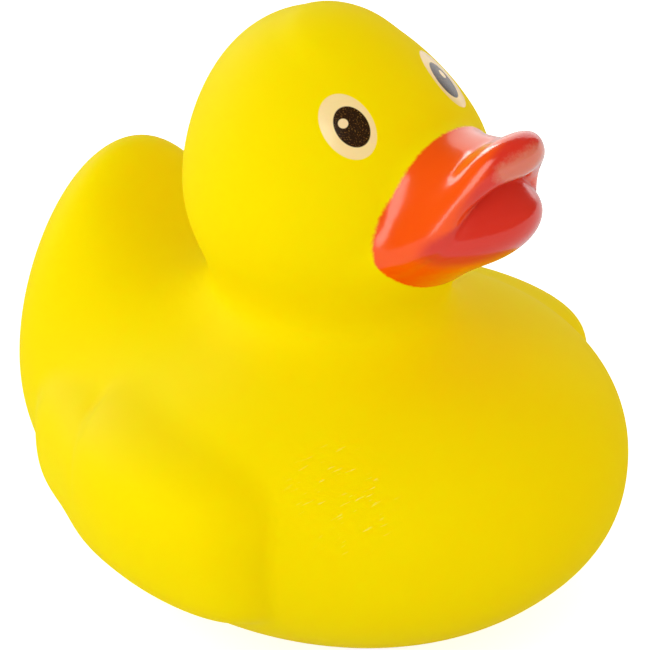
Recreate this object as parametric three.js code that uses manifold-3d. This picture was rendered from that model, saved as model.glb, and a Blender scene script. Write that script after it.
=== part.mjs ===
// Squeezable bath duck, moulded in one piece as a hollow soft-vinyl shell.
// Millimetres, +Z up, beak towards +X, standing on its flat base at z = 0.

import * as THREE from 'three';
import { mergeVertices } from 'three/addons/utils/BufferGeometryUtils.js';
import Module from 'manifold-3d';

// Shell
const WALL = 2;
const VENT_RADIUS = 3;

// Body, an egg with a rounder rump, cut flat underneath
const BODY_FRONT = 34.5;
const BODY_BACK = 31.7;
const BODY_HALF_WIDTH = 33;
const BODY_HALF_HEIGHT = 20.2;
const BODY_FLARE = 0.16;
const BODY_SQUARENESS = 2.15;
const BASE_CUT = 1.2;
const RUMP_HALF_LENGTH = 20.5;
const RUMP_HALF_WIDTH = 20.5;
const RUMP_HALF_HEIGHT = 17.5;
const RUMP_OVERHANG = 6.6;
const RUMP_BLEND = 10;

// Tail, a broad upright fan, and the dish between it and the neck
const TAIL_HALF_THICKNESS = 7.4;
const TAIL_HALF_WIDTH = 13.5;
const TAIL_HALF_HEIGHT = 16.6;
const TAIL_RISE = 12.5;
const TAIL_OVERHANG = 1.6;
const TAIL_LEAN = -0.03;
const TAIL_BLEND = 19;
const DISH_HALF_LENGTH = 10.5;
const DISH_HALF_WIDTH = 20;
const DISH_HALF_HEIGHT = 17;
const DISH_RISE = 3.5;
const DISH_CLEAR = 3.5;
const DISH_BLEND = 6;

// Head, round cheeks under a smaller crown, with a low tuft on top
const HEAD_RADIUS = 18.4;
const HEAD_HALF_HEIGHT = 16.8;
const HEAD_RISE = 15.5;
const HEAD_SETBACK = 1;
const NECK_BLEND = 9;
const CROWN_RADIUS = 10.6;
const CROWN_RISE = 9.2;
const CROWN_SETBACK = 3.4;
const CROWN_BLEND = 8.2;
const TUFT_RADIUS = 7;
const TUFT_HEIGHT = 0.75;
const TUFT_AHEAD = 5.2;
const TUFT_EDGE = 2.6;
const TUFT_FADE = 10;

// Bill, an arched upper plate rimmed by a rolled lip, over a fuller lower bill
const BILL_LENGTH = 11;
const BILL_HALF_WIDTH = 9.3;
const BILL_HALF_THICKNESS = 1.3;
const BILL_RISE = 9.6;
const BILL_SINK = 3.3;
const BILL_TILT = 0.22;
const BILL_BLEND = 2.5;
const BILL_SKIRT = 0.5;
const BILL_SKIRT_BLEND = 2;
const LIP_RADIUS = 1.2;
const LIP_TIP_RADIUS = 2.3;
const LIP_TIP_TAPER = 7;
const LIP_SAG = 0.5;
const LIP_DROP = 11.5;
const LIP_ARCH = 2.9;
const LIP_BLEND = 2.5;
const LIP_EDGE = 1.5;
const CHEEK_CLEAR = 0.8;
const LOWER_HALF_LENGTH = 11;
const LOWER_HALF_WIDTH = 10.3;
const LOWER_HALF_HEIGHT = 5.6;
const LOWER_AHEAD = 1.4;
const LOWER_RISE = 0.9;
const LOWER_LEAN = 0.22;
const MOUTH_DEPTH = 1.2;
const MOUTH_RISE = 2.6;
const MOUTH_SIDE = 1.2;
const MOUTH_FULLNESS = 1.3;
const MOUTH_BLEND = 1.5;
const MOUTH_FADE = 2;
const MOUTH_CREASE = 1.5;
const CORNER_AHEAD = 5.5;
const CORNER_FADE = 3;
const CORNER_BLEND = 2;
const CHIN_RISE = 3;
const CHIN_FADE = 6;
const CHIN_BLEND = 5.5;

// Wings, raised pads that thin out to the rear, each a shoulder and one feather with a crease between
const WING_THICKNESS = 4.4;
const WING_TAPER = 0.1;
const WING_TAPER_FROM = 4.7;
const WING_TAPER_ROUND = 10;
const WING_HALF_LENGTH = 17;
const WING_HALF_HEIGHT = 11.8;
const WING_BEHIND = 4.2;
const WING_RISE = 2.1;
const WING_PITCH = -0.145;
const WING_SQUARENESS = 3.5;
const WING_EDGE = 7;
const WING_FILLET = 1.2;
const FEATHER_HALF_LENGTH = 11.6;
const FEATHER_HALF_HEIGHT = 9.4;
const FEATHER_SQUARENESS = 2.6;
const FEATHER_BEHIND = 17.3;
const FEATHER_RISE = 0.8;
const FEATHER_NOTCH_BLEND = 0.6;
const FEATHER_BLEND = 7.5;
const FEATHER_BLEND_SPAN = 8;
const CREASE_AHEAD = 3.3;
const CREASE_SINK = 0.3;
const CREASE_RUN = 3.6;
const CREASE_DROP = 2.6;
const CREASE_DEPTH = 0.7;
const CREASE_WIDTH = 1.2;

// Facet sizes of the outer skin, of the fine zone around the bill, and of the inside
const SKIN_FACET = 3;
const BILL_FACET = 1.5;
const INSIDE_FACET = 5.4;
const BILL_MARGIN = 2;
const LIP_STEPS = 24;
const VENT_STEPS = 24;
const SETTLE_STEPS = 4;

// Places that follow from the sizes; the middle of the body is x = 0
const BODY_Z = BODY_HALF_HEIGHT - BASE_CUT;
const BODY_TOP = BODY_Z + BODY_HALF_HEIGHT;
const RUMP_X = RUMP_HALF_LENGTH - BODY_BACK - RUMP_OVERHANG;
const TAIL_X = -BODY_BACK - TAIL_OVERHANG;
const TAIL_Z = BODY_TOP + TAIL_RISE - TAIL_HALF_HEIGHT;
const DISH_X = TAIL_X + DISH_CLEAR + DISH_HALF_LENGTH;
const DISH_Z = BODY_TOP + DISH_RISE + DISH_HALF_HEIGHT;
const HEAD_X = -HEAD_SETBACK;
const HEAD_Z = BODY_TOP + HEAD_RISE;
const CROWN_X = HEAD_X - CROWN_SETBACK;
const CROWN_Z = HEAD_Z + CROWN_RISE;
const TUFT_X = CROWN_X + TUFT_AHEAD;
const BILL_X = HEAD_X + HEAD_RADIUS - BILL_SINK;
const LIP_TIP_Z = HEAD_Z + BILL_RISE;
const LIP_CORNER_Z = LIP_TIP_Z - LIP_DROP;
const LOWER_X = BILL_X + LOWER_AHEAD;
const LOWER_Z = LIP_CORNER_Z + LOWER_RISE;
const WING_X = -WING_BEHIND;
const WING_Z = BODY_Z + WING_RISE;
const FEATHER_X = WING_X - FEATHER_BEHIND;
const FEATHER_Z = WING_Z + FEATHER_RISE;
const CREASE_X = FEATHER_X + CREASE_AHEAD;
const CREASE_Z = FEATHER_Z + FEATHER_HALF_HEIGHT - CREASE_SINK;

// Distances to simple forms, negative inside, joined and cut with rounded seams

function join(a, b, blend) {
  const near = Math.max(blend - Math.abs(a - b), 0) / blend;
  return Math.min(a, b) - near * near * blend / 4;
}

function cut(a, b, blend) {
  return -join(-a, -b, blend);
}

function ramp(t) {
  const s = THREE.MathUtils.clamp(t, 0, 1);
  return s * s * (3 - 2 * s);
}

function ellipsoid(x, y, z, halfX, halfY, halfZ, lean = 0) {
  const across = Math.cos(lean) * x + Math.sin(lean) * z;
  const along = Math.cos(lean) * z - Math.sin(lean) * x;
  const reach = Math.hypot(across / halfX, y / halfY, along / halfZ) + 1e-9;
  const slope = Math.hypot(across / halfX ** 2, y / halfY ** 2, along / halfZ ** 2) + 1e-9;
  return reach * (reach - 1) / slope;
}

function ellipse(u, v, halfU, halfV, n = 2) {
  const a = Math.abs(u) / halfU + 1e-9;
  const b = Math.abs(v) / halfV + 1e-9;
  const reach = (a ** n + b ** n) ** (1 / n);
  const slope = reach ** (1 - n) * Math.hypot(a ** (n - 1) / halfU, b ** (n - 1) / halfV);
  return (reach - 1) / slope;
}

function egg(x, y, z) {
  const level = THREE.MathUtils.clamp((z - BODY_Z) / BODY_HALF_HEIGHT, -1.2, 1.2);
  const halfLength = x > 0 ? BODY_FRONT : BODY_BACK;
  const n = BODY_SQUARENESS;
  const ax = Math.abs(x) / halfLength + 1e-9;
  const ay = Math.abs(y) / (1 + BODY_FLARE * level) / BODY_HALF_WIDTH + 1e-9;
  const az = Math.abs(z - BODY_Z) / BODY_HALF_HEIGHT + 1e-9;
  const ring = (ay ** n + az ** n) ** (1 / n);
  const reach = Math.hypot(ax, ring);
  const pull = ring ** (2 - n) / reach;
  const slopeX = ax / halfLength / reach;
  const slopeY = pull * ay ** (n - 1) / BODY_HALF_WIDTH;
  const slopeZ = pull * az ** (n - 1) / BODY_HALF_HEIGHT;
  return (reach - 1) / Math.hypot(slopeX, slopeY, slopeZ);
}

// Body, rump and tail

function body(x, y, z) {
  const rump = ellipsoid(x - RUMP_X, y, z - BODY_Z, RUMP_HALF_LENGTH, RUMP_HALF_WIDTH, RUMP_HALF_HEIGHT);
  const torso = join(egg(x, y, z), rump, RUMP_BLEND);
  const tail = ellipsoid(
    x - TAIL_X, y, z - TAIL_Z,
    TAIL_HALF_THICKNESS, TAIL_HALF_WIDTH, TAIL_HALF_HEIGHT, TAIL_LEAN);
  const reach = Math.hypot(
    (x - DISH_X) / DISH_HALF_LENGTH, y / DISH_HALF_WIDTH, (z - DISH_Z) / DISH_HALF_HEIGHT);
  const dish = (reach - 1) * DISH_HALF_LENGTH;
  return cut(join(torso, tail, TAIL_BLEND), -dish, DISH_BLEND);
}

// Head with its tuft, highest at the rear and fading out towards the forehead

function head(x, y, z) {
  const cheeks = ellipsoid(x - HEAD_X, y, z - HEAD_Z, HEAD_RADIUS, HEAD_RADIUS, HEAD_HALF_HEIGHT);
  const crown = ellipsoid(x - CROWN_X, y, z - CROWN_Z, CROWN_RADIUS, CROWN_RADIUS, CROWN_RADIUS);
  const skull = join(crown, cheeks, CROWN_BLEND);
  const rim = ellipse(x - TUFT_X, y, TUFT_RADIUS, TUFT_RADIUS);
  const fade = ramp((TUFT_X + TUFT_RADIUS - x) / TUFT_FADE) * ramp((z - CROWN_Z) / TUFT_RADIUS);
  return skull - TUFT_HEIGHT * fade * ramp(0.5 - rim / TUFT_EDGE);
}

// Rolled lip of the upper bill, a bead that runs from the tip down to the mouth corner

const lip = [];
for (let i = 0; i <= LIP_STEPS; i++) {
  const turn = i / LIP_STEPS * Math.PI / 2;
  lip.push({
    x: BILL_X + (BILL_LENGTH - LIP_SAG) * Math.cos(turn),
    y: BILL_HALF_WIDTH * Math.sin(turn),
    z: LIP_TIP_Z - LIP_SAG * Math.cos(turn) - LIP_DROP * Math.sin(turn) ** LIP_ARCH,
    radius: LIP_RADIUS + (LIP_TIP_RADIUS - LIP_RADIUS) * Math.cos(turn) ** LIP_TIP_TAPER,
  });
}

function bead(x, y, z) {
  const side = Math.abs(y);
  let nearest = Infinity;
  for (let i = 0; i < LIP_STEPS; i++) {
    const a = lip[i];
    const b = lip[i + 1];
    const dx = b.x - a.x;
    const dy = b.y - a.y;
    const dz = b.z - a.z;
    const dot = (x - a.x) * dx + (side - a.y) * dy + (z - a.z) * dz;
    const t = THREE.MathUtils.clamp(dot / (dx * dx + dy * dy + dz * dz), 0, 1);
    const gap = Math.hypot(x - a.x - t * dx, side - a.y - t * dy, z - a.z - t * dz);
    nearest = Math.min(nearest, gap - a.radius - t * (b.radius - a.radius));
  }
  return nearest;
}

// Bill: the lower half runs into the throat, the upper plate lies on it with a sharp mouth line

function bill(x, y, z, trunk) {
  const throat = ellipsoid(
    x - LOWER_X + MOUTH_DEPTH, y, z - LOWER_Z - MOUTH_RISE,
    LOWER_HALF_LENGTH - MOUTH_SIDE, LOWER_HALF_WIDTH - MOUTH_SIDE, LOWER_HALF_HEIGHT + MOUTH_FULLNESS,
    LOWER_LEAN);
  const jaw = ellipsoid(
    x - LOWER_X, y, z - LOWER_Z,
    LOWER_HALF_LENGTH, LOWER_HALF_WIDTH, LOWER_HALF_HEIGHT, LOWER_LEAN);
  const low = ramp((LIP_CORNER_Z + CHIN_RISE - z) / CHIN_FADE);
  const chin = THREE.MathUtils.lerp(BILL_BLEND, CHIN_BLEND, low);
  const lower = join(trunk, join(throat, jaw, MOUTH_CREASE), chin);

  const side = Math.abs(y) / BILL_HALF_WIDTH;
  const tip = BILL_X + BILL_LENGTH;
  const middle = LIP_TIP_Z + BILL_TILT * (x - tip) - LIP_DROP * side ** LIP_ARCH;
  const fall = LIP_ARCH * LIP_DROP / BILL_HALF_WIDTH * Math.min(side, 1.1) ** (LIP_ARCH - 1);
  const height = (z - middle) / Math.hypot(1, fall);
  const plan = ellipse(x - BILL_X, y, BILL_LENGTH, BILL_HALF_WIDTH);
  const ahead = (x - BILL_X) * LIP_DROP - (z - LIP_CORNER_Z) * BILL_LENGTH;
  const under = ahead / Math.hypot(BILL_LENGTH, LIP_DROP) - CHEEK_CLEAR;
  const plate = cut(cut(Math.abs(height) - BILL_HALF_THICKNESS, plan, LIP_EDGE), under, LIP_EDGE);
  const skirt = cut(plate, LIP_CORNER_Z - BILL_SKIRT - z, BILL_SKIRT_BLEND);
  const upper = join(skirt, bead(x, y, z), LIP_BLEND);

  const corner = ramp((BILL_X + CORNER_AHEAD - x) / CORNER_FADE);
  const mouth = THREE.MathUtils.lerp(MOUTH_BLEND, CORNER_BLEND, corner);
  const above = ramp(0.5 + height / MOUTH_FADE);
  return join(lower, upper, THREE.MathUtils.lerp(mouth, BILL_BLEND, above));
}

// Wings, the same on both sides, raised from the skin of the trunk

function wing(x, z, trunk) {
  const u = x - WING_X;
  const v = z - WING_Z;
  const along = Math.cos(WING_PITCH) * u + Math.sin(WING_PITCH) * v;
  const across = Math.cos(WING_PITCH) * v - Math.sin(WING_PITCH) * u;
  const shoulder = ellipse(along, across, WING_HALF_LENGTH, WING_HALF_HEIGHT, WING_SQUARENESS);
  const feather = ellipse(
    x - FEATHER_X, z - FEATHER_Z, FEATHER_HALF_LENGTH, FEATHER_HALF_HEIGHT, FEATHER_SQUARENESS);
  const low = ramp((WING_Z - z) / FEATHER_BLEND_SPAN);
  const outline = join(shoulder, feather, FEATHER_NOTCH_BLEND + FEATHER_BLEND * low);
  const ahead = x - CREASE_X;
  const below = CREASE_Z - z;
  const share = (ahead * CREASE_RUN + below * CREASE_DROP) / (CREASE_RUN ** 2 + CREASE_DROP ** 2);
  const down = THREE.MathUtils.clamp(share, 0, 1);
  const apart = Math.hypot(ahead - down * CREASE_RUN, below - down * CREASE_DROP);
  const crease = CREASE_DEPTH * (1 - ramp(down)) * Math.exp(-((apart / CREASE_WIDTH) ** 2));
  const behind = x + WING_TAPER_FROM;
  const thinning = WING_TAPER * (Math.hypot(behind, WING_TAPER_ROUND) - behind) / 2;
  return cut(trunk - (WING_THICKNESS - thinning - crease), outline, WING_EDGE);
}

// Whole duck

function duck(x, y, z) {
  const trunk = join(body(x, y, z), head(x, y, z), NECK_BLEND);
  const winged = join(trunk, wing(x, z, trunk), WING_FILLET);
  return bill(x, y, z, winged);
}

function standing(x, y, z) {
  return Math.max(duck(x, y, z), -z);
}

function hollow(x, y, z) {
  return Math.max(duck(x, y, z), -z) + WALL;
}

// Grid lines from one end to the other, closer together inside a fine zone

function gridLines(from, to, facet, fineFrom, fineTo, fineFacet) {
  const lines = [];
  const stretches = [[from, fineFrom, facet], [fineFrom, fineTo, fineFacet], [fineTo, to, facet]];
  for (const [start, end, size] of stretches) {
    const count = Math.max(1, Math.round((end - start) / size));
    for (let i = 0; i < count; i++) {
      lines.push(start + (end - start) * i / count);
    }
  }
  lines.push(to);
  return lines;
}

// Closed skin of a form: one corner in each grid cell that the surface crosses, settled onto it

function skin(form, xs, ys, zs) {
  const nx = xs.length;
  const ny = ys.length;
  const nz = zs.length;
  const at = (i, j, k) => (i * ny + j) * nz + k;
  const values = new Float64Array(nx * ny * nz);
  for (let i = 0; i < nx; i++) {
    for (let j = 0; j < ny; j++) {
      for (let k = 0; k < nz; k++) {
        values[at(i, j, k)] = form(xs[i], ys[j], zs[k]);
      }
    }
  }

  const corners = [];
  const cornerOf = new Map();
  const steps = [[1, 0, 0], [0, 1, 0], [0, 0, 1]];
  for (let i = 0; i < nx - 1; i++) {
    for (let j = 0; j < ny - 1; j++) {
      for (let k = 0; k < nz - 1; k++) {
        const sum = new THREE.Vector3();
        let crossings = 0;
        for (let c = 0; c < 8; c++) {
          const low = [c & 1, (c >> 1) & 1, (c >> 2) & 1];
          for (const step of steps) {
            if (low[0] * step[0] + low[1] * step[1] + low[2] * step[2] > 0) {
              continue;
            }
            const a = [i + low[0], j + low[1], k + low[2]];
            const b = [a[0] + step[0], a[1] + step[1], a[2] + step[2]];
            const va = values[at(...a)];
            const vb = values[at(...b)];
            if ((va < 0) === (vb < 0)) {
              continue;
            }
            const start = new THREE.Vector3(xs[a[0]], ys[a[1]], zs[a[2]]);
            const end = new THREE.Vector3(xs[b[0]], ys[b[1]], zs[b[2]]);
            sum.add(start.lerp(end, va / (va - vb)));
            crossings += 1;
          }
        }
        if (crossings > 0) {
          const reach = Math.min(xs[i + 1] - xs[i], ys[j + 1] - ys[j], zs[k + 1] - zs[k]) / 2;
          cornerOf.set(at(i, j, k), corners.length);
          corners.push(settle(form, sum.divideScalar(crossings), reach));
        }
      }
    }
  }

  const triangles = [];
  const addQuad = (cells, flip) => {
    const [a, b, c, d] = cells.map((cell) => cornerOf.get(cell));
    const shortAC = corners[a].distanceTo(corners[c]) < corners[b].distanceTo(corners[d]);
    const halves = shortAC ? [[a, b, c], [a, c, d]] : [[b, c, d], [b, d, a]];
    for (const [p, q, r] of halves) {
      triangles.push(p, flip ? r : q, flip ? q : r);
    }
  };
  for (let i = 1; i < nx - 1; i++) {
    for (let j = 1; j < ny - 1; j++) {
      for (let k = 1; k < nz - 1; k++) {
        const inside = values[at(i, j, k)] < 0;
        if (inside !== values[at(i + 1, j, k)] < 0) {
          addQuad([at(i, j - 1, k - 1), at(i, j, k - 1), at(i, j, k), at(i, j - 1, k)], !inside);
        }
        if (inside !== values[at(i, j + 1, k)] < 0) {
          addQuad([at(i - 1, j, k - 1), at(i - 1, j, k), at(i, j, k), at(i, j, k - 1)], !inside);
        }
        if (inside !== values[at(i, j, k + 1)] < 0) {
          addQuad([at(i - 1, j - 1, k), at(i, j - 1, k), at(i, j, k), at(i - 1, j, k)], !inside);
        }
      }
    }
  }

  const geometry = new THREE.BufferGeometry().setFromPoints(corners);
  geometry.setIndex(triangles);
  return geometry;
}

// Moves a point along the slope of a form onto its surface, by no more than the given reach

function settle(form, point, reach) {
  const start = point.clone();
  const d = 1e-3;
  for (let i = 0; i < SETTLE_STEPS; i++) {
    const { x, y, z } = point;
    const slope = new THREE.Vector3(
      form(x + d, y, z) - form(x - d, y, z),
      form(x, y + d, z) - form(x, y - d, z),
      form(x, y, z + d) - form(x, y, z - d),
    ).divideScalar(2 * d);
    point.addScaledVector(slope, -form(x, y, z) / Math.max(slope.lengthSq(), 0.25));
    point.sub(start).clampLength(0, reach).add(start);
  }
  return point;
}

// Solids that can be joined and cut

const wasm = await Module();
wasm.setup();

function solid(geometry) {
  geometry.deleteAttribute('normal');
  geometry.deleteAttribute('uv');
  const merged = mergeVertices(geometry);
  return new wasm.Manifold(new wasm.Mesh({
    numProp: 3,
    vertProperties: new Float32Array(merged.attributes.position.array),
    triVerts: new Uint32Array(merged.index.array),
  }));
}

// Space that holds the duck, and the fine zone around its bill

const back = TAIL_X - TAIL_HALF_THICKNESS - TAIL_BLEND / 4 - INSIDE_FACET;
const front = Math.max(BODY_FRONT, LOWER_X + LOWER_HALF_LENGTH) + INSIDE_FACET;
const side = BODY_HALF_WIDTH * (1 + BODY_FLARE) + WING_THICKNESS + INSIDE_FACET;
const bottom = -INSIDE_FACET;
const top = CROWN_Z + CROWN_RADIUS + INSIDE_FACET;
const billSide = LOWER_HALF_WIDTH + BILL_MARGIN;
const billFront = LOWER_X + LOWER_HALF_LENGTH + BILL_MARGIN;
const billBottom = LOWER_Z - LOWER_HALF_HEIGHT - BILL_MARGIN;
const billTop = LIP_TIP_Z + LIP_TIP_RADIUS + BILL_MARGIN;

function gridOf(facet, billFacet) {
  return [
    gridLines(back, front, facet, BILL_X, billFront, billFacet),
    gridLines(-side, side, facet, -billSide, billSide, billFacet),
    gridLines(bottom, top, facet, billBottom, billTop, billFacet),
  ];
}

// Shell, opened by the vent in the middle of its base

const outside = solid(skin(standing, ...gridOf(SKIN_FACET, BILL_FACET)));
const inside = solid(skin(hollow, ...gridOf(INSIDE_FACET, INSIDE_FACET)));
const drill = new THREE.CylinderGeometry(VENT_RADIUS, VENT_RADIUS, 4 * WALL, VENT_STEPS);
const vent = solid(drill.rotateX(Math.PI / 2));
const shell = outside.subtract(inside).subtract(vent).getMesh();

const geometry = new THREE.BufferGeometry();
geometry.setAttribute('position', new THREE.BufferAttribute(shell.vertProperties, 3));
geometry.setIndex(new THREE.BufferAttribute(shell.triVerts, 1));
geometry.computeVertexNormals();
geometry.computeBoundingBox();

const vinyl = new THREE.MeshStandardMaterial({ color: '#f6dc01', roughness: 0.5, metalness: 0 });
const mesh = new THREE.Mesh(geometry, vinyl);
mesh.name = 'duck_shell';
mesh.position.x = -(geometry.boundingBox.min.x + geometry.boundingBox.max.x) / 2;

const duckToy = new THREE.Group();
duckToy.add(mesh);

export default duckToy;
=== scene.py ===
import math
import bpy
import numpy as np
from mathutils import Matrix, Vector


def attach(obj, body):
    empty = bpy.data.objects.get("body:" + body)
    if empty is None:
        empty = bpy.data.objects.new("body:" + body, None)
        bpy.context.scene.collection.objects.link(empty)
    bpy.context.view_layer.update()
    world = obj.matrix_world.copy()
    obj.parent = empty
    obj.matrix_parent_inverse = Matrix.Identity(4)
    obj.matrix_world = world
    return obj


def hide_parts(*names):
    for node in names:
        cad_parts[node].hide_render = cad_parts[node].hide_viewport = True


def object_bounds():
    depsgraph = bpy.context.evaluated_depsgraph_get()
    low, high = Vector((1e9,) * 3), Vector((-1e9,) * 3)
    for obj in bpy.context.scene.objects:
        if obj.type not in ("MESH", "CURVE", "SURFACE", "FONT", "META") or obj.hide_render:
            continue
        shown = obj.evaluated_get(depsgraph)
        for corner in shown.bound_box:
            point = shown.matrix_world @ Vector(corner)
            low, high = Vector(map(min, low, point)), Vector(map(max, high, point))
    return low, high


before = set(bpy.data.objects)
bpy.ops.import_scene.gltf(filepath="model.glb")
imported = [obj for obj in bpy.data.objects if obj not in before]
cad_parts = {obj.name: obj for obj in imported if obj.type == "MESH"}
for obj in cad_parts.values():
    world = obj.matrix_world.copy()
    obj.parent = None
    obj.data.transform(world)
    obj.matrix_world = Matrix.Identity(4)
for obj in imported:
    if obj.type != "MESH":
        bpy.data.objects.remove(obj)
cad_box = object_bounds()


# Duck moulding
# The whole toy is one hollow shell of soft vinyl, cast by turning plastisol in a heated mould, so
# body, tail, wings, head and bill run into each other with rounded seams and no joint line.


# Sizes are in millimetres, with the beak towards +X; the middle of the body is x = 0. Each form is a
# distance, negative inside it, and a blend is the width over which two forms merge.
def join(a, b, blend):
    near = np.maximum(blend - np.abs(a - b), 0) / blend
    return np.minimum(a, b) - near * near * blend / 4


def cut(a, b, blend):
    return -join(-a, -b, blend)


def ramp(t):
    t = np.clip(t, 0, 1)
    return t * t * (3 - 2 * t)


def ellipsoid(x, y, z, half, lean=0.0):
    across = math.cos(lean) * x + math.sin(lean) * z
    along = math.cos(lean) * z - math.sin(lean) * x
    reach = np.sqrt((across / half[0]) ** 2 + (y / half[1]) ** 2 + (along / half[2]) ** 2) + 1e-9
    slope = np.sqrt((across / half[0] ** 2) ** 2 + (y / half[1] ** 2) ** 2 + (along / half[2] ** 2) ** 2)
    return reach * (reach - 1) / (slope + 1e-9)


def ellipse(u, v, half, n=2.0):
    a, b = np.abs(u) / half[0] + 1e-9, np.abs(v) / half[1] + 1e-9
    reach = (a ** n + b ** n) ** (1 / n)
    slope = reach ** (1 - n) * np.hypot(a ** (n - 1) / half[0], b ** (n - 1) / half[1])
    return (reach - 1) / slope


# Body: an egg that widens upwards, a rounder rump, the fan of the tail and the dish before it.
BODY_FRONT = 34.5
BODY_BACK = 31.7
BODY_HALF_WIDTH = 33.0
BODY_HALF_HEIGHT = 20.2
BODY_FLARE = 0.16
BODY_SQUARENESS = 2.15
BODY_Z = BODY_HALF_HEIGHT - 1.2
BODY_TOP = BODY_Z + BODY_HALF_HEIGHT
RUMP_HALF = (20.5, 20.5, 17.5)
RUMP_X = RUMP_HALF[0] - BODY_BACK - 6.6
RUMP_BLEND = 10.0
TAIL_HALF = (7.4, 13.5, 16.6)
TAIL_X = -BODY_BACK - 1.6
TAIL_Z = BODY_TOP + 12.5 - TAIL_HALF[2]
TAIL_LEAN = -0.03
TAIL_BLEND = 19.0
DISH_HALF = (10.5, 20.0, 17.0)
DISH_X = TAIL_X + 3.5 + DISH_HALF[0]
DISH_Z = BODY_TOP + 3.5 + DISH_HALF[2]
DISH_BLEND = 6.0


def body(x, y, z):
    level = np.clip((z - BODY_Z) / BODY_HALF_HEIGHT, -1.2, 1.2)
    half_length = np.where(x > 0, BODY_FRONT, BODY_BACK)
    n = BODY_SQUARENESS
    ax = np.abs(x) / half_length + 1e-9
    ay = np.abs(y) / (1 + BODY_FLARE * level) / BODY_HALF_WIDTH + 1e-9
    az = np.abs(z - BODY_Z) / BODY_HALF_HEIGHT + 1e-9
    ring = (ay ** n + az ** n) ** (1 / n)
    reach = np.sqrt(ax * ax + ring * ring)
    pull = ring ** (2 - n) / reach
    slope_x = ax / half_length / reach
    slope_y = pull * ay ** (n - 1) / BODY_HALF_WIDTH
    slope_z = pull * az ** (n - 1) / BODY_HALF_HEIGHT
    egg = (reach - 1) / np.sqrt(slope_x ** 2 + slope_y ** 2 + slope_z ** 2)
    torso = join(egg, ellipsoid(x - RUMP_X, y, z - BODY_Z, RUMP_HALF), RUMP_BLEND)
    tail = ellipsoid(x - TAIL_X, y, z - TAIL_Z, TAIL_HALF, TAIL_LEAN)
    u, v, w = (x - DISH_X) / DISH_HALF[0], y / DISH_HALF[1], (z - DISH_Z) / DISH_HALF[2]
    dish = np.sqrt(u ** 2 + v ** 2 + w ** 2)
    return cut(join(torso, tail, TAIL_BLEND), (1 - dish) * DISH_HALF[0], DISH_BLEND)


# Head: round cheeks, a smaller crown behind them, and a low tuft with a soft rim on the crown.
HEAD_HALF = (18.4, 18.4, 16.8)
HEAD_X = -1.0
HEAD_Z = BODY_TOP + 15.5
NECK_BLEND = 9.0
CROWN_RADIUS = 10.6
CROWN_X = HEAD_X - 3.4
CROWN_Z = HEAD_Z + 9.2
CROWN_BLEND = 8.2
TUFT_X = CROWN_X + 5.2
TUFT_RADIUS = 7.4
TUFT_HEIGHT = 0.5
TUFT_FADE = 10.0
TUFT_RIM = 3.4


def head(x, y, z):
    cheeks = ellipsoid(x - HEAD_X, y, z - HEAD_Z, HEAD_HALF)
    crown = ellipsoid(x - CROWN_X, y, z - CROWN_Z, (CROWN_RADIUS,) * 3)
    tuft = ramp((TUFT_X + TUFT_RADIUS - x) / TUFT_FADE) * ramp((z - CROWN_Z) / TUFT_RADIUS)
    rim = ellipse(x - TUFT_X, y, (TUFT_RADIUS, TUFT_RADIUS))
    return join(crown, cheeks, CROWN_BLEND) - TUFT_HEIGHT * tuft * ramp(0.5 - rim / TUFT_RIM)


# Bill: an arched upper plate with a rolled lip that is thickest at the tip, over a rounded lower jaw.
BILL_LENGTH = 11.0
BILL_HALF_WIDTH = 9.3
BILL_HALF_THICKNESS = 1.3
BILL_X = HEAD_X + HEAD_HALF[0] - 3.3
BILL_TILT = 0.22
BILL_BLEND = 2.5
PLATE_EDGE = 1.5
PLATE_UNDERCUT = 0.8
LIP_TIP_Z = HEAD_Z + 9.6
LIP_RADIUS = 1.2
LIP_TIP_RADIUS = 2.3
LIP_TIP_TAPER = 7
LIP_SAG = 0.5
LIP_DROP = 11.5
LIP_ARCH = 2.9
LIP_BLEND = 2.5
LIP_POINTS = 97
LIP_CORNER_Z = LIP_TIP_Z - LIP_DROP
LOWER_HALF = (11.0, 10.3, 5.6)
LOWER_X = BILL_X + 1.4
LOWER_Z = LIP_CORNER_Z + 0.9
LOWER_LEAN = 0.22
THROAT_HALF = (9.8, 9.1, 6.9)
THROAT_X = LOWER_X - 1.2
THROAT_Z = LOWER_Z + 2.6
THROAT_BLEND = 1.5
MOUTH_BLEND = 0.6
CORNER_BLEND = 2.0
CORNER_X = BILL_X + 5.5
CORNER_SPAN = 3.0
CHIN_BLEND = 5.5
CHIN_Z = LIP_CORNER_Z + 3
CHIN_SPAN = 6.0


def lip(x, y, z):
    turn = np.linspace(0, math.pi / 2, LIP_POINTS)
    xs = BILL_X + (BILL_LENGTH - LIP_SAG) * np.cos(turn)
    ys = BILL_HALF_WIDTH * np.sin(turn)
    zs = LIP_TIP_Z - LIP_SAG * np.cos(turn) - LIP_DROP * np.sin(turn) ** LIP_ARCH
    radius = LIP_RADIUS + (LIP_TIP_RADIUS - LIP_RADIUS) * np.cos(turn) ** LIP_TIP_TAPER
    nearest = np.full(np.shape(x), 1e3)
    for i in range(LIP_POINTS - 1):
        dx, dy, dz = xs[i + 1] - xs[i], ys[i + 1] - ys[i], zs[i + 1] - zs[i]
        u, v, w = x - xs[i], np.abs(y) - ys[i], z - zs[i]
        t = np.clip((u * dx + v * dy + w * dz) / (dx * dx + dy * dy + dz * dz), 0, 1)
        gap = np.sqrt((u - t * dx) ** 2 + (v - t * dy) ** 2 + (w - t * dz) ** 2)
        nearest = np.minimum(nearest, gap - radius[i] - t * (radius[i + 1] - radius[i]))
    return nearest


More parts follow.
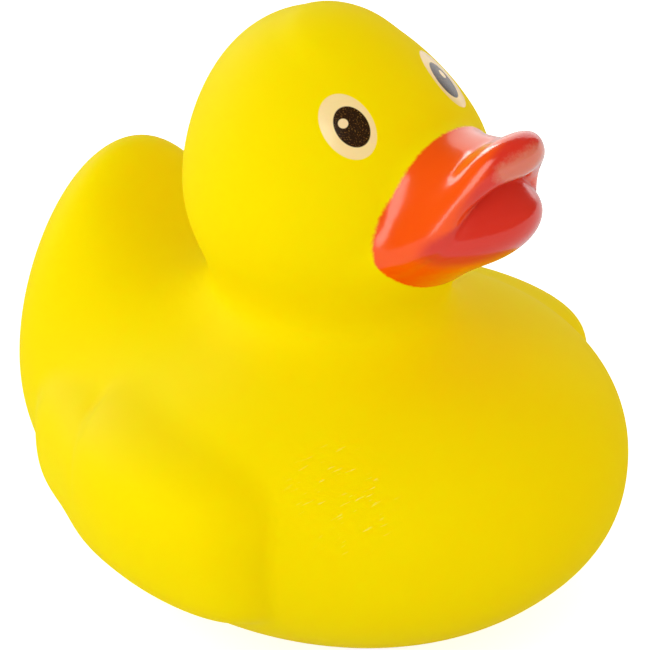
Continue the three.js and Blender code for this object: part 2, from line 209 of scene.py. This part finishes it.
def bill_halves(x, y, z, trunk):
    throat = ellipsoid(x - THROAT_X, y, z - THROAT_Z, THROAT_HALF, LOWER_LEAN)
    jaw = ellipsoid(x - LOWER_X, y, z - LOWER_Z, LOWER_HALF, LOWER_LEAN)
    chin = BILL_BLEND + (CHIN_BLEND - BILL_BLEND) * ramp((CHIN_Z - z) / CHIN_SPAN)
    lower = join(trunk, join(throat, jaw, THROAT_BLEND), chin)
    side = np.abs(y) / BILL_HALF_WIDTH
    middle = LIP_TIP_Z + BILL_TILT * (x - BILL_X - BILL_LENGTH) - LIP_DROP * side ** LIP_ARCH
    fall = LIP_ARCH * LIP_DROP / BILL_HALF_WIDTH * np.minimum(side, 1.1) ** (LIP_ARCH - 1)
    height = (z - middle) / np.sqrt(1 + fall * fall)
    plan = ellipse(x - BILL_X, y, (BILL_LENGTH, BILL_HALF_WIDTH))
    ahead = (x - BILL_X) * LIP_DROP - (z - LIP_CORNER_Z) * BILL_LENGTH
    under = ahead / math.hypot(BILL_LENGTH, LIP_DROP) - PLATE_UNDERCUT
    plate = cut(cut(np.abs(height) - BILL_HALF_THICKNESS, plan, PLATE_EDGE), under, PLATE_EDGE)
    upper = join(cut(plate, LIP_CORNER_Z - 0.5 - z, 2.0), lip(x, y, z), LIP_BLEND)
    mouth = MOUTH_BLEND + (CORNER_BLEND - MOUTH_BLEND) * ramp((CORNER_X - x) / CORNER_SPAN)
    return lower, upper, mouth + (BILL_BLEND - mouth) * ramp(0.5 + height / 2)


# Wings: a raised pillow on each flank, of a shoulder and one feather, with a notch between them.
WING_THICKNESS = 4.4
WING_TAPER = 0.05
WING_TAPER_FROM = 4.7
WING_TAPER_ROUND = 10.0
WING_HALF = (17.0, 11.8)
WING_X = -4.2
WING_Z = BODY_Z + 2.1
WING_PITCH = -0.145
WING_SQUARENESS = 3.5
WING_EDGE = 7.0
WING_FILLET = 0.9
FEATHER_HALF = (11.6, 9.4)
FEATHER_SQUARENESS = 2.6
FEATHER_X = WING_X - 17.3
FEATHER_Z = WING_Z + 0.8
FEATHER_BLEND = 7.5
FEATHER_BLEND_SPAN = 8.0
NOTCH_BLEND = 0.6
CREASE_X = FEATHER_X + 3.3
CREASE_Z = FEATHER_Z + FEATHER_HALF[1] - 0.3
CREASE_RUN = 3.6
CREASE_DROP = 2.6
CREASE_DEPTH = 0.7
CREASE_WIDTH = 1.2


def wing(x, z, trunk):
    u, v = x - WING_X, z - WING_Z
    along = math.cos(WING_PITCH) * u + math.sin(WING_PITCH) * v
    across = math.cos(WING_PITCH) * v - math.sin(WING_PITCH) * u
    shoulder = ellipse(along, across, WING_HALF, WING_SQUARENESS)
    feather = ellipse(x - FEATHER_X, z - FEATHER_Z, FEATHER_HALF, FEATHER_SQUARENESS)
    low = ramp((WING_Z - z) / FEATHER_BLEND_SPAN)
    outline = join(shoulder, feather, NOTCH_BLEND + FEATHER_BLEND * low)
    u, v = x - CREASE_X, CREASE_Z - z
    down = np.clip((u * CREASE_RUN + v * CREASE_DROP) / (CREASE_RUN ** 2 + CREASE_DROP ** 2), 0, 1)
    apart = np.hypot(u - down * CREASE_RUN, v - down * CREASE_DROP)
    crease = CREASE_DEPTH * (1 - ramp(down)) * np.exp(-(apart / CREASE_WIDTH) ** 2)
    behind = x + WING_TAPER_FROM
    thinning = WING_TAPER * (np.hypot(behind, WING_TAPER_ROUND) - behind)
    return cut(trunk - (WING_THICKNESS - thinning - crease), outline, WING_EDGE)


# The flat it stands on, with the air vent in it.
VENT_RADIUS = 3.0
VENT_DEPTH = 6.0
VENT_EDGE = 0.8
BASE_EDGE = 0.4


def duck(x, y, z):
    trunk = join(body(x, y, z), head(x, y, z), NECK_BLEND)
    skin = join(trunk, wing(x, z, trunk), WING_FILLET)
    near = (x > BILL_X - 16) & (z > LOWER_Z - 20) & (z < LIP_TIP_Z + 8) & (np.abs(y) < 22)
    skin[near] = join(*bill_halves(x[near], y[near], z[near], skin[near]))
    vent = np.maximum(np.hypot(x, y) - VENT_RADIUS, z - VENT_DEPTH)
    return cut(cut(skin, -z, BASE_EDGE), -vent, VENT_EDGE)


# The skin of that form: one point in each grid cell that the form's surface crosses, drawn onto the
# surface, and one quad round each grid edge that it crosses. The grid is finer round the bill.
SKIN_STEP = 0.64
BILL_STEP = 0.4


def grid(start, fine_start, fine_end, end):
    spans = ((start, fine_start, SKIN_STEP), (fine_start, fine_end, BILL_STEP), (fine_end, end, SKIN_STEP))
    return np.concatenate([np.linspace(a, b, round((b - a) / step), endpoint=False) for a, b, step in spans])


def skin_of(form, xs, ys, zs):
    layers = [form(*(g.ravel() for g in np.meshgrid([x], ys, zs, indexing="ij"))) for x in xs]
    values = np.stack(layers).reshape(len(xs), len(ys), len(zs))
    inside = values < 0
    corners = [(i, j, k) for i in (0, 1) for j in (0, 1) for k in (0, 1)]
    count = np.zeros((len(xs) - 1, len(ys) - 1, len(zs) - 1), dtype=int)
    for i, j, k in corners:
        count += inside[i:len(xs) - 1 + i, j:len(ys) - 1 + j, k:len(zs) - 1 + k]
    cells = np.argwhere((count > 0) & (count < 8))
    total, hits = np.zeros((len(cells), 3)), np.zeros(len(cells))
    for corner in corners:
        for axis in range(3):
            if corner[axis]:
                continue
            start = cells + corner
            end = start + np.eye(3, dtype=int)[axis]
            at_start, at_end = values[tuple(start.T)], values[tuple(end.T)]
            crossed = (at_start < 0) != (at_end < 0)
            t = np.where(crossed, at_start / np.where(crossed, at_start - at_end, 1), 0)
            total += np.where(crossed[:, None], start + t[:, None] * (end - start), 0)
            hits += crossed
    place = total / hits[:, None]
    axes = (xs, ys, zs)
    points = np.stack([np.interp(place[:, k], np.arange(len(axis)), axis) for k, axis in enumerate(axes)], 1)
    reach = np.stack([np.diff(axis)[cells[:, k]] / 2 for k, axis in enumerate(axes)], 1)
    first = points.copy()
    for _ in range(4):
        slope = np.stack([form(*(points + d).T) - form(*(points - d).T) for d in np.eye(3) * 0.01], 1) / 0.02
        move = form(*points.T) / np.maximum((slope ** 2).sum(1), 0.25)
        points = first + np.clip(points - slope * move[:, None] - first, -reach, reach)
    number = np.full(inside.shape, -1)
    number[tuple(cells.T)] = np.arange(len(cells))
    quads = []
    for axis in range(3):
        one, two = np.eye(3, dtype=int)[(axis + 1) % 3], np.eye(3, dtype=int)[(axis + 2) % 3]
        lower, upper = [slice(None)] * 3, [slice(None)] * 3
        lower[axis], upper[axis] = slice(None, -1), slice(1, None)
        edges = np.argwhere(inside[tuple(lower)] != inside[tuple(upper)])
        ring = np.stack([number[tuple((edges + o).T)] for o in (-one - two, -two, 0 * one, -one)], 1)
        leaving = inside[tuple(edges.T)]
        quads.append(np.where(leaving[:, None], ring, ring[:, ::-1]))
    return points, np.concatenate(quads)


points, quads = skin_of(duck, grid(-47, 9, 28, 40), grid(-41, -13, 13, 42), grid(-2, 45, 69, 80))

# This skin can stand a hair outside the solid's facets, so it is sized to stay in the solid's box.
low, high = points.min(0), points.max(0)
cad_low, cad_high = (np.array(corner) * 1000 for corner in cad_box)
fit = min(1.0, ((cad_high - cad_low) / (high - low)).min())
offset = np.array([-fit * (low[0] + high[0]) / 2, 0, -fit * low[2]])

mesh = bpy.data.meshes.new("duck_moulding")
mesh.from_pydata(((points * fit + offset) / 1000).tolist(), [], quads.tolist())
mesh.polygons.foreach_set("use_smooth", np.ones(len(mesh.polygons), dtype=bool))
mesh.update()
moulding = bpy.data.objects.new("duck_moulding", mesh)
bpy.context.scene.collection.objects.link(moulding)
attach(moulding, "root")
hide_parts("duck_shell")

# Soft vinyl, plasticised PVC that takes the satin of its mould: to the eye one deep yellow, a little
# cloudy where the pigment settled, with a fine grain and some light scattered under the skin.
# Patterns are given per millimetre. The mould's grain is finer than the render shows, so it is
# drawn at about half a millimetre.

CLOUDS_PER_MM = 0.06
PORES_PER_MM = 2.2
PORE_DEPTH = 0.0002


def linear(code):
    parts = [int(code[i:i + 2], 16) / 255 for i in (1, 3, 5)]
    return tuple(c / 12.92 if c <= 0.04045 else ((c + 0.055) / 1.055) ** 2.4 for c in parts) + (1.0,)


# In a mix node, 0 is the share, 2 and 3 are its numbers, and 6 and 7 its colours. In a map range, 0 is
# the value, 1 and 2 the range it comes from, and 3 and 4 the range it goes to.
def add(tree, kind, feeds, **settings):
    made = tree.nodes.new(kind)
    for name, value in settings.items():
        setattr(made, name, value)
    for name, value in feeds.items():
        if isinstance(value, bpy.types.NodeSocket):
            tree.links.new(value, made.inputs[name])
        else:
            made.inputs[name].default_value = value
    return made


vinyl = bpy.data.materials.new("soft_vinyl_with_enamel_and_ink")
vinyl.use_nodes = True
tree = vinyl.node_tree
tree.nodes.clear()
place = add(tree, "ShaderNodeTexCoord", {}).outputs["Object"]
mm = add(tree, "ShaderNodeVectorMath", {0: place, "Scale": 1000.0}, operation="SCALE").outputs[0]
cloud = add(tree, "ShaderNodeTexNoise", {"Vector": mm, "Scale": CLOUDS_PER_MM, "Detail": 3.0})
yellow = add(tree, "ShaderNodeMix", {0: cloud.outputs[0], 6: linear("#f4dd00"), 7: linear("#f8e502")},
             data_type="RGBA").outputs[2]
pores = add(tree, "ShaderNodeTexNoise",
            {"Vector": mm, "Scale": PORES_PER_MM, "Detail": 3.0, "Roughness": 0.6})
relief = add(tree, "ShaderNodeBump", {"Height": pores.outputs[0], "Strength": 0.05, "Distance": PORE_DEPTH})


# Scuffs
# The breast has been rubbed in use, which left a patch of short pale strokes across the vinyl.
# The real strokes are hairlines, drawn here about a third of a millimetre wide so that they show.

SCUFF_CENTRE = np.array((18.5, -24.8, 28.5))
SCUFF_ALONG = np.array((0.544, 0.755, 0.367))
SCUFF_ACROSS = np.array((-0.723, 0.198, 0.663))
STROKES_PER_MM = (0.3, 2.8, 1.0)
PATCH_PER_MM = (0.14, 0.12, 1.0)
CLUMPS_PER_MM = 0.45
SCUFF_STRENGTH = 0.55


def carry(name, kind, values):
    layer = mesh.attributes.new(name, kind, "POINT")
    field = "vector" if kind == "FLOAT_VECTOR" else "value"
    layer.data.foreach_set(field, np.ascontiguousarray(values, np.float32).ravel())


away = points - SCUFF_CENTRE
flat = np.stack([away @ SCUFF_ALONG, away @ SCUFF_ACROSS, away[:, 1] * 0], 1)
carry("scuff_mm", "FLOAT_VECTOR", flat)

scuff = add(tree, "ShaderNodeAttribute", {}, attribute_name="scuff_mm").outputs["Vector"]
streaks = add(tree, "ShaderNodeVectorMath", {0: scuff, 1: STROKES_PER_MM}, operation="MULTIPLY")
strokes = add(tree, "ShaderNodeTexNoise",
              {"Vector": streaks.outputs[0], "Scale": 1.0, "Detail": 2.0, "Roughness": 0.6})
thin = add(tree, "ShaderNodeMapRange", {0: strokes.outputs[0], 1: 0.58, 2: 0.70},
           interpolation_type="SMOOTHSTEP")
patch = add(tree, "ShaderNodeVectorMath", {0: scuff, 1: PATCH_PER_MM}, operation="MULTIPLY")
patch = add(tree, "ShaderNodeVectorMath", {0: patch.outputs[0]}, operation="LENGTH")
patch = add(tree, "ShaderNodeMapRange", {0: patch.outputs["Value"], 1: 1.0, 2: 0.45},
            interpolation_type="SMOOTHSTEP")
clumps = add(tree, "ShaderNodeTexNoise", {"Vector": scuff, "Scale": CLUMPS_PER_MM, "Detail": 1.0})
clump = add(tree, "ShaderNodeMapRange", {0: clumps.outputs[0], 1: 0.47, 2: 0.60},
            interpolation_type="SMOOTHSTEP")
worn = thin.outputs[0]
for share in (patch.outputs[0], clump.outputs[0], SCUFF_STRENGTH):
    worn = add(tree, "ShaderNodeMath", {0: worn, 1: share}, operation="MULTIPLY").outputs[0]
skin_colour = add(tree, "ShaderNodeMix", {0: worn, 6: yellow, 7: linear("#fcf07c")},
                  data_type="RGBA").outputs[2]


# Bill enamel
# The bill is sprayed through a mask with a glossy orange enamel once the moulding is out, and the
# mask lets it bleed a little into the yellow round the root. The mouth, the lip's front and the jaw's
# underside are drawn a darker red as painted shade, and a pale patch on the tip is a painted reflection.

PAINT_LINE = ((38.0, 60.0), (42.0, 23.6), (44.0, 18.6), (46.3, 16.1), (47.3, 15.6), (48.3, 15.1),
              (49.6, 14.5), (50.8, 13.9), (51.8, 13.35), (53.8, 13.1), (55.7, 13.2), (57.5, 13.5),
              (59.3, 14.1), (61.0, 14.45), (64.5, 14.8), (80.0, 15.5))
BLEED_PER_MM = 1.5
BLEED_REACH = 0.3
PAINT_EDGE = 0.24
# Painted reflection: a pale pinkish patch on the front of the tip, where the gloss would show a white card.
TIP_REFLECTION_HALF = (3.4, 6.0, 2.4)
TIP_REFLECTION_CENTRE = (BILL_X + BILL_LENGTH + 1, 0.5, LIP_TIP_Z - 0.9)
TIP_REFLECTION_PER_MM = 1.1
TIP_REFLECTION_REACH = 0.8

x, y, z = points.T
line_z, line_x = zip(*PAINT_LINE)
carry("paint_mm", "FLOAT", x - np.interp(z, line_z, line_x))
lower, upper, _ = bill_halves(x, y, z, np.full(len(points), 50.0))
# Painted shade: the mouth, the jaw below the lip and the forward-facing face of the lip and tip are marked
# to be drawn a darker red.
facing = np.zeros(len(points) * 3)
mesh.vertex_normals.foreach_get("vector", facing)
ahead = x - BILL_X
front, tip = ramp((facing[::3] - 0.45) / 0.3), ramp((ahead - BILL_LENGTH + 1.5) / 1.6)
rim = np.maximum(front, tip) * ramp((ahead - 7) / 3)
inner = ramp((upper - lower + 0.4) / 0.8) * ramp((ahead - 3) / 3) * ramp((z - LIP_CORNER_Z + 2.5) / 2.5)
carry("bill_painted_shade", "FLOAT", np.where(upper < lower, np.maximum(rim, inner), inner))
carry("chin_mm", "FLOAT", LIP_CORNER_Z - z)
tip_reflection_shape = ellipsoid(x - TIP_REFLECTION_CENTRE[0], y - TIP_REFLECTION_CENTRE[1], z - TIP_REFLECTION_CENTRE[2], TIP_REFLECTION_HALF)
carry("tip_reflection_mm", "FLOAT", np.where(upper < lower, tip_reflection_shape, 9.0))

paint = add(tree, "ShaderNodeAttribute", {}, attribute_name="paint_mm").outputs["Fac"]
bleed = add(tree, "ShaderNodeTexNoise",
            {"Vector": mm, "Scale": BLEED_PER_MM, "Detail": 4.0, "Roughness": 0.65})
bleed = add(tree, "ShaderNodeMapRange",
            {0: bleed.outputs[0], 1: 0.0, 2: 1.0, 3: -BLEED_REACH, 4: BLEED_REACH}, clamp=False)
edge = add(tree, "ShaderNodeMath", {0: paint, 1: bleed.outputs[0]}, operation="ADD")
painted = add(tree, "ShaderNodeMapRange", {0: edge.outputs[0], 1: -PAINT_EDGE, 2: PAINT_EDGE},
              interpolation_type="SMOOTHSTEP").outputs[0]
# Painted shade: the enamel turns redder down the underside of the jaw, which faces away from the lights.
chin = add(tree, "ShaderNodeAttribute", {}, attribute_name="chin_mm").outputs["Fac"]
chin = add(tree, "ShaderNodeMapRange", {0: chin, 1: 0.5, 2: 4.0}, interpolation_type="SMOOTHSTEP")
orange = add(tree, "ShaderNodeMix", {0: chin.outputs[0], 6: linear("#fb5800"), 7: linear("#f43e00")},
             data_type="RGBA").outputs[2]
# Painted shade: the marked parts of the bill are drawn a darker red.
painted_shade = add(tree, "ShaderNodeAttribute", {}, attribute_name="bill_painted_shade").outputs["Fac"]
orange = add(tree, "ShaderNodeMix", {0: painted_shade, 6: orange, 7: linear("#da3526")}, data_type="RGBA").outputs[2]
# Painted reflection: the pale patch on the tip's front, with a ragged edge.
tip_reflection = add(tree, "ShaderNodeAttribute", {}, attribute_name="tip_reflection_mm").outputs["Fac"]
tip_reflection_share = add(tree, "ShaderNodeTexNoise", {"Vector": mm, "Scale": TIP_REFLECTION_PER_MM, "Detail": 3.0, "Roughness": 0.7})
tip_reflection_share = add(tree, "ShaderNodeMapRange", {0: tip_reflection_share.outputs[0], 1: 0.0, 2: 1.0, 3: -TIP_REFLECTION_REACH, 4: TIP_REFLECTION_REACH},
           clamp=False)
tip_reflection_share = add(tree, "ShaderNodeMath", {0: tip_reflection, 1: tip_reflection_share.outputs[0]}, operation="ADD")
tip_reflection_share = add(tree, "ShaderNodeMapRange", {0: tip_reflection_share.outputs[0], 1: 0.3, 2: -1.1, 3: 0.0, 4: 0.75},
           interpolation_type="SMOOTHSTEP")
orange = add(tree, "ShaderNodeMix", {0: tip_reflection_share.outputs[0], 6: orange, 7: linear("#dd8a76")},
             data_type="RGBA").outputs[2]
inks = add(tree, "ShaderNodeMix", {0: painted, 6: skin_colour, 7: orange}, data_type="RGBA").outputs[2]


# Eye prints
# Each eye is pad-printed in three inks: a cream oval, a brown-black pupil and a cream glint.
# The prints are placed by hand, so the two sides are not quite mirrored. The specks where the
# dark ink is thin are finer than the render shows, and are drawn about a sixth of a millimetre wide.

EYE_CENTRE = {-1: (7.9, -9.95, 66.7), 1: (9.06, 7.41, 67.6)}
EYE_NORMAL = {-1: (0.531, -0.548, 0.646), 1: (0.614, 0.375, 0.695)}
EYE_TURN = math.radians(-64)
SPECKS_PER_MM = 6.0
INK_EDGE = 0.06
INK_GLOSS = 0.7

side = np.where(points[:, 1] < 0, -1, 1)
eye_mm = np.zeros((len(points), 3))
for s in (-1, 1):
    normal = np.array(EYE_NORMAL[s])
    forward = np.cross((0, 0, -s), normal)
    forward /= np.linalg.norm(forward)
    up = np.cross(normal, forward) * -s
    away = points - np.array(EYE_CENTRE[s])
    u, v = away @ forward, away @ up
    flat = np.stack([math.cos(EYE_TURN) * u + math.sin(EYE_TURN) * v,
                     math.cos(EYE_TURN) * v - math.sin(EYE_TURN) * u,
                     np.abs(away @ normal)], 1)
    eye_mm[side == s] = flat[side == s]
carry("eye_mm", "FLOAT_VECTOR", eye_mm)

eye = add(tree, "ShaderNodeAttribute", {}, attribute_name="eye_mm").outputs["Vector"]
grain = add(tree, "ShaderNodeTexNoise", {"Vector": mm, "Scale": SPECKS_PER_MM, "Detail": 2.0})
specks = add(tree, "ShaderNodeMapRange", {0: grain.outputs[0], 1: 0.56, 2: 0.76}).outputs[0]
pupil_ink = add(tree, "ShaderNodeMix", {0: specks, 6: linear("#2e1c0d"), 7: linear("#8a6026")},
                data_type="RGBA").outputs[2]
prints = (((-0.07, 0.07), (4.24, 3.05), linear("#fbe2a6")),
          ((0.21, 0.45), (2.63, 1.99), pupil_ink),
          ((-0.6, -0.25), (0.6, 0.6), linear("#f8dfae")))
masks = []
for (a, b), (half_a, half_b), ink in prints:
    oval = add(tree, "ShaderNodeVectorMath", {0: eye, 1: (a, b, 0.0)}, operation="SUBTRACT")
    oval = add(tree, "ShaderNodeVectorMath", {0: oval.outputs[0], 1: (1 / half_a, 1 / half_b, 0.0)},
               operation="MULTIPLY")
    oval = add(tree, "ShaderNodeVectorMath", {0: oval.outputs[0]}, operation="LENGTH")
    soft = INK_EDGE / half_b
    masks.append(add(tree, "ShaderNodeMapRange", {0: oval.outputs["Value"], 1: 1 + soft, 2: 1 - soft},
                     interpolation_type="SMOOTHSTEP").outputs[0])
    inks = add(tree, "ShaderNodeMix", {0: masks[-1], 6: inks, 7: ink}, data_type="RGBA").outputs[2]
printed = masks[0]


# Finish of the moulding
# The vinyl is bare and nearly matt, the inks dry to a low gloss, and the enamel flows out smooth, so
# the bill shows the lights as clear bands while the body only pales softly at its edges.

gloss = add(tree, "ShaderNodeMath", {0: printed, 1: INK_GLOSS}, operation="MULTIPLY")
gloss = add(tree, "ShaderNodeMath", {0: gloss.outputs[0], 1: painted}, operation="MAXIMUM")
rough = add(tree, "ShaderNodeMix", {0: painted, 2: 0.6, 3: 0.35})
rough = add(tree, "ShaderNodeMix", {0: printed, 2: rough.outputs[0], 3: 0.3})
surface = add(tree, "ShaderNodeBsdfPrincipled", {
    "Base Color": inks, "Roughness": rough.outputs[0], "Normal": relief.outputs[0], "IOR": 1.5,
    "Specular IOR Level": 0.02, "Specular Tint": linear("#ffed95"),
    "Coat Weight": gloss.outputs[0], "Coat Roughness": 0.18, "Coat IOR": 1.5,
    "Subsurface Weight": 0.35, "Subsurface Radius": (1.0, 0.4, 0.06), "Subsurface Scale": 0.006})
add(tree, "ShaderNodeOutputMaterial", {"Surface": surface.outputs[0]})
mesh.materials.append(vinyl)


# Floor
# A plain table of white card. The camera sees it lifted to white, with the toy's own soft shadow on
# it, and the gloss of the bill sees it as an even pale sheet.

CARD_LIFT = 0.75
CARD_IN_GLOSS = 0.8

floor_mesh = bpy.data.meshes.new("floor")
floor_mesh.from_pydata([(-3, -3, 0), (3, -3, 0), (3, 3, 0), (-3, 3, 0)], [], [(0, 1, 2, 3)])
floor = bpy.data.objects.new("floor", floor_mesh)
floor.location.z = -0.0001
bpy.context.scene.collection.objects.link(floor)
card = bpy.data.materials.new("white_card")
card.use_nodes = True
card_tree = card.node_tree
card_tree.nodes.clear()
rays = add(card_tree, "ShaderNodeLightPath", {})
glow = add(card_tree, "ShaderNodeMath", {0: rays.outputs["Is Camera Ray"], 1: CARD_LIFT},
           operation="MULTIPLY")
matt = add(card_tree, "ShaderNodeBsdfDiffuse", {"Color": linear("#f3f3f3")})
lift = add(card_tree, "ShaderNodeEmission", {"Color": linear("#ffffff"), "Strength": glow.outputs[0]})
lit = add(card_tree, "ShaderNodeAddShader", {0: matt.outputs[0], 1: lift.outputs[0]})
mirrored = add(card_tree, "ShaderNodeEmission", {"Color": linear("#ffffff"), "Strength": CARD_IN_GLOSS})
seen = add(card_tree, "ShaderNodeMixShader",
           {0: rays.outputs["Is Glossy Ray"], 1: lit.outputs[0], 2: mirrored.outputs[0]})
add(card_tree, "ShaderNodeOutputMaterial", {"Surface": seen.outputs[0]})
floor_mesh.materials.append(card)


# Light
# A white room that looks white to the camera and gives an even, slightly warm light. Three soft lamps
# shape the colours: a window on the left, one in front, and a warm fill on the far right. Three cards
# show only in gloss: the strip and the back card on the bill, the side card as a pale edge.

ROOM_LIGHT = 0.64
ROOM_IN_GLOSS = 0.02
ROOM_TINT = (1.0, 0.935, 0.82, 1.0)

world = bpy.data.worlds.new("white_room")
bpy.context.scene.world = world
world.use_nodes = True
room_tree = world.node_tree
room_tree.nodes.clear()
rays = add(room_tree, "ShaderNodeLightPath", {})
room = add(room_tree, "ShaderNodeMix", {0: rays.outputs["Is Glossy Ray"], 2: ROOM_LIGHT, 3: ROOM_IN_GLOSS})
room = add(room_tree, "ShaderNodeMix", {0: rays.outputs["Is Camera Ray"], 2: room.outputs[0], 3: 1.0})
tint = add(room_tree, "ShaderNodeMix",
           {0: rays.outputs["Is Camera Ray"], 6: ROOM_TINT, 7: linear("#ffffff")}, data_type="RGBA")
sky = add(room_tree, "ShaderNodeBackground", {"Color": tint.outputs[2], "Strength": room.outputs[0]})
add(room_tree, "ShaderNodeOutputWorld", {"Surface": sky.outputs[0]})


def softbox(name, at, size, watts, colour=(1.0, 1.0, 1.0), in_gloss=False):
    lamp = bpy.data.lights.new(name, "AREA")
    lamp.shape = "RECTANGLE"
    lamp.size, lamp.size_y = size
    lamp.energy = watts
    lamp.color = colour
    held = bpy.data.objects.new(name, lamp)
    held.location = at
    held.rotation_mode = "QUATERNION"
    held.rotation_quaternion = (Vector((0, 0, 0.04)) - Vector(at)).to_track_quat("-Z", "Y")
    held.visible_camera = False
    held.visible_glossy = in_gloss
    held.visible_diffuse = not in_gloss
    bpy.context.scene.collection.objects.link(held)


softbox("window", (-1.1, -0.6, 0.55), (1.0, 1.0), 4.1)
softbox("front", (0.17, -0.98, 0.5), (0.6, 0.9), 4.0)
softbox("fill", (0.9, 0.75, 0.35), (1.2, 1.2), 3.7, (1.0, 0.62, 0.35))
softbox("strip", (0.31, -0.904, 0.547), (0.45, 1.3), 7.7, in_gloss=True)
softbox("side", (-1.0, 0.12, 0.42), (1.2, 0.6), 15.0, in_gloss=True)
softbox("back", (-0.518, 1.016, 0.41), (1.15, 0.83), 4.15, in_gloss=True)


# Camera
# A long lens from the duck's right front, a little above it, so that the forms keep their true
# proportions with next to no foreshortening.

lens = bpy.data.cameras.new("camera")
lens.sensor_width = 36.0
lens.lens = 325.7
eyepoint = bpy.data.objects.new("camera", lens)
eyepoint.location = (0.39057, -0.5093, 0.3211)
eyepoint.rotation_mode = "QUATERNION"
aim = Vector((0.00249, -0.00125, 0.03592)) - eyepoint.location
eyepoint.rotation_quaternion = aim.to_track_quat("-Z", "Y")
bpy.context.scene.collection.objects.link(eyepoint)
bpy.context.scene.camera = eyepoint
bpy.context.scene.view_settings.view_transform = "Standard"
